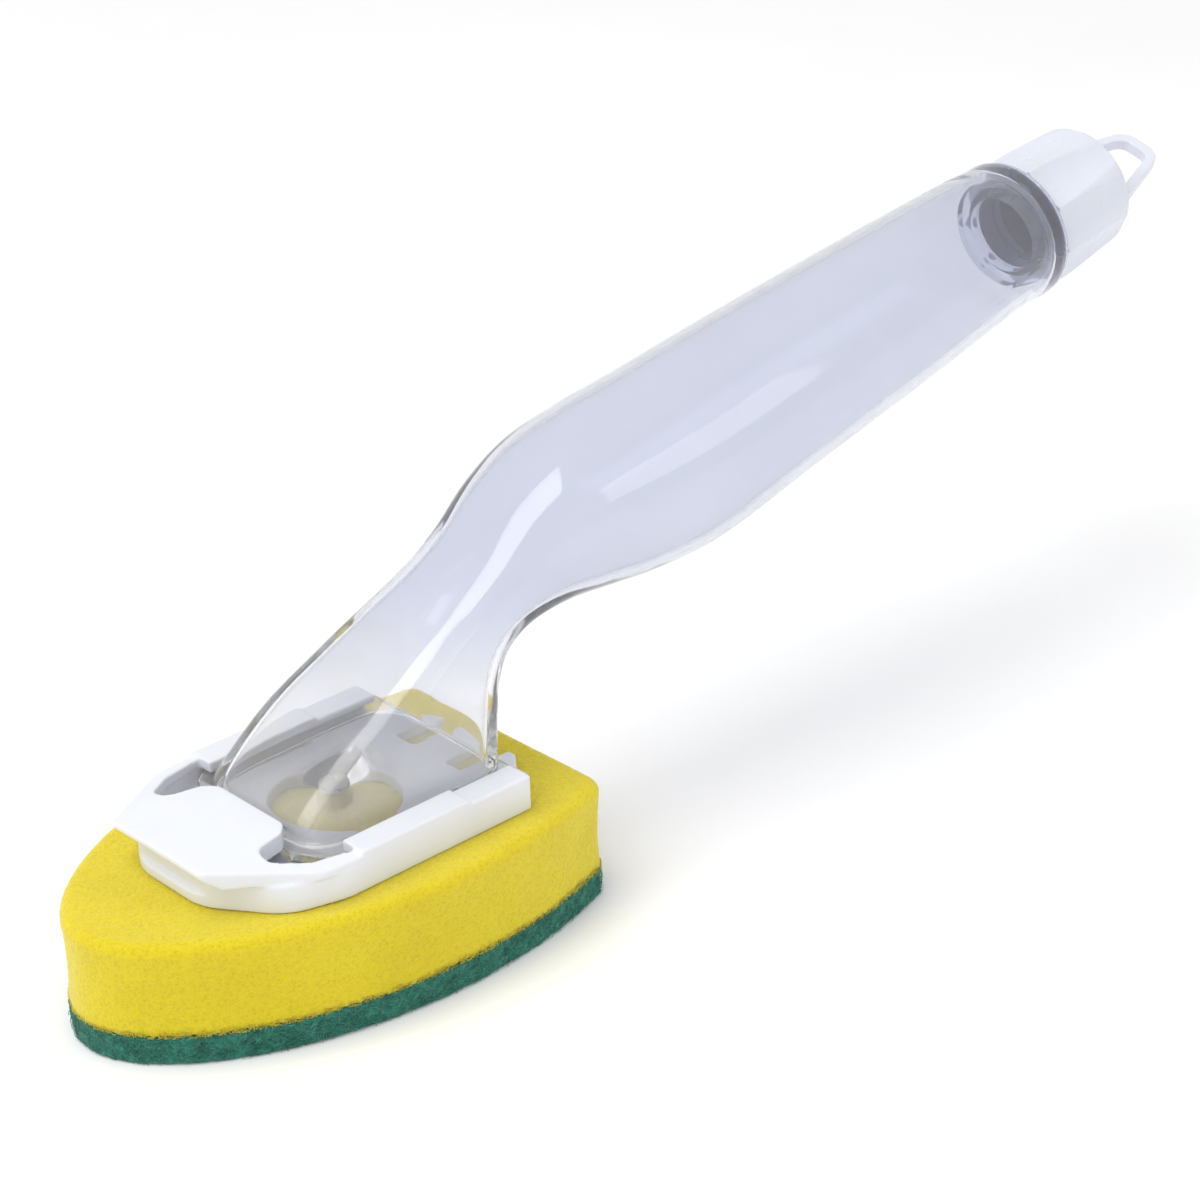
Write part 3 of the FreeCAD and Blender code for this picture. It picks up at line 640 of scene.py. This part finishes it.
def make_clear_handle(material):
    """One mesh for both shells: the hollow tube, then the sole plate with its outlet."""
    shoulder_out = [shoulder_section(along, radius) for along, radius in SHOULDER]
    shoulder_in = [shoulder_section(along - END_WALL, radius) for along, radius in SHOULDER]
    outer = smooth_sections(HANDLE_SECTIONS + shoulder_out, HANDLE_STEP)
    inner = smooth_sections(HANDLE_SECTIONS + shoulder_in, HANDLE_STEP)
    end, end_radius = SHOULDER[-1]
    mouth = [
        (end + 0.25, end_radius - 0.5),
        (end + 0.25, (end_radius + NECK_RADIUS) / 2),
        (end + 0.25, NECK_RADIUS + 0.35),
        (end, NECK_RADIUS + 0.05),
        (end - END_WALL + 0.1, NECK_RADIUS + 0.05),
        (end - END_WALL, NECK_RADIUS + 0.3),
    ]
    rings = [section_ring(section, seam=SEAM_PROUD) for section in outer]
    rings += [section_ring(shoulder_section(*pair)) for pair in mouth]
    rings += [section_ring(section, inset=WALL) for section in reversed(inner)]
    points, faces = [], []
    join_rings(rings, points, faces)
    lowest = (SOLE_TOP + FOOT_GAP) * MM
    points = [Vector((p.x, p.y, max(p.z, lowest))) for p in points]
    faces = [tuple(reversed(face)) for face in faces]

    corners = SOLE_OUTLINE + [(x, -y) for x, y in reversed(SOLE_OUTLINE)]
    rim = [(0.35, SOLE_BOTTOM), (0.1, SOLE_BOTTOM + 0.1), (0.0, SOLE_BOTTOM + 0.35),
           (0.0, SOLE_TOP - 0.35), (0.1, SOLE_TOP - 0.1), (0.35, SOLE_TOP)]
    hole = [(OUTLET_RADIUS + 0.3, SOLE_TOP), (OUTLET_RADIUS + 0.03, SOLE_TOP - 0.25),
            (OUTLET_RADIUS + 0.03, SOLE_BOTTOM + 0.25), (OUTLET_RADIUS + 0.3, SOLE_BOTTOM)]
    plate = [outline_ring(corners, inset, z) for inset, z in rim]
    plate += [hole_ring(radius, z) for radius, z in hole]
    join_rings(plate, points, faces)
    mesh_piece("clear_handle", points, faces, "handle", material,
               ["handle_upper_shell", "handle_lower_shell"])


# --- Scene ----------------------------------------------------------------------------------------

WELD_DISTANCE = 0.002 * MM
SOFTENING_PASSES = 6
FLOOR_HALF, FLOOR_DROP = 6.0, 0.1 * MM


def dress_node(name, material, voxel=0.0):
    """Gives a CAD node its material and, where voxel is set, a moulding's softly rounded edges."""
    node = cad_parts[name]
    node.data.materials.clear()
    node.data.materials.append(material)
    if voxel:
        weld = node.modifiers.new("weld", "WELD")
        weld.merge_threshold = WELD_DISTANCE
        remesh = node.modifiers.new("remesh", "REMESH")
        remesh.mode = "VOXEL"
        remesh.voxel_size = voxel
        remesh.use_smooth_shade = True
        soften = node.modifiers.new("soften", "SMOOTH")
        soften.factor = 0.5
        soften.iterations = SOFTENING_PASSES


def make_floor(material):
    half = FLOOR_HALF
    mesh = bpy.data.meshes.new("studio_floor")
    mesh.from_pydata([(-half, -half, 0), (half, -half, 0), (half, half, 0), (-half, half, 0)],
                     [], [(0, 1, 2, 3)])
    mesh.materials.append(material)
    floor = bpy.data.objects.new("studio_floor", mesh)
    floor.location.z = -FLOOR_DROP
    bpy.context.scene.collection.objects.link(floor)


bpy.context.scene.view_settings.view_transform = "Standard"
make_camera()
make_world(WORLD_STRENGTH)
make_floor(studio_floor("floor_paper"))
for light in LIGHTS:
    area_light(*light)

clear = clear_plastic("clear_plastic", CLEAR_FOOT_PAINTED_LIGHT, CLEAR_GRIP, rough=0.05, ior=1.14)
make_clear_handle(clear)
dress_node("threaded_neck", clear)
dress_node("outlet_valve",
           soft_rubber("valve_silicone", VALVE_SILICONE, rough=0.3, transmission=0.85))
dress_node("cap_seal", soft_rubber("seal_foam", SEAL_GREY, rough=0.7))
dress_node("screw_cap", moulded_plastic("cap_plastic", CAP_WHITE, rough=0.32), 0.24 * MM)
dress_node("refill_cradle", moulded_plastic("cradle_plastic", CRADLE_WHITE, rough=0.36), 0.28 * MM)
foam_look = open_cell_foam("yellow_foam")
make_foam(foam_look)
make_pad(scourer_fibre("green_scourer", PAD_DARK, PAD_LIGHT, PAD_SPECKS))
strand_look = scourer_fibre("scourer_strands", STRAND_DARK, STRAND_LIGHT, STRAND_SPECKS)
pad_low, pad_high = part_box("scouring_pad")
edge_fibres("scouring_pad_fibres", strand_look,
            low=pad_low.z + 0.4 * MM, high=pad_high.z - 0.2 * MM,
            count=3600, length=2.2 * MM, radius=0.05 * MM, sink=0.15 * MM)
edge_fibres("foam_fuzz", foam_look,
            low=pad_high.z - 0.1 * MM, high=pad_high.z + 0.8 * MM,
            count=2600, length=0.9 * MM, radius=0.06 * MM, sink=0.02 * MM)
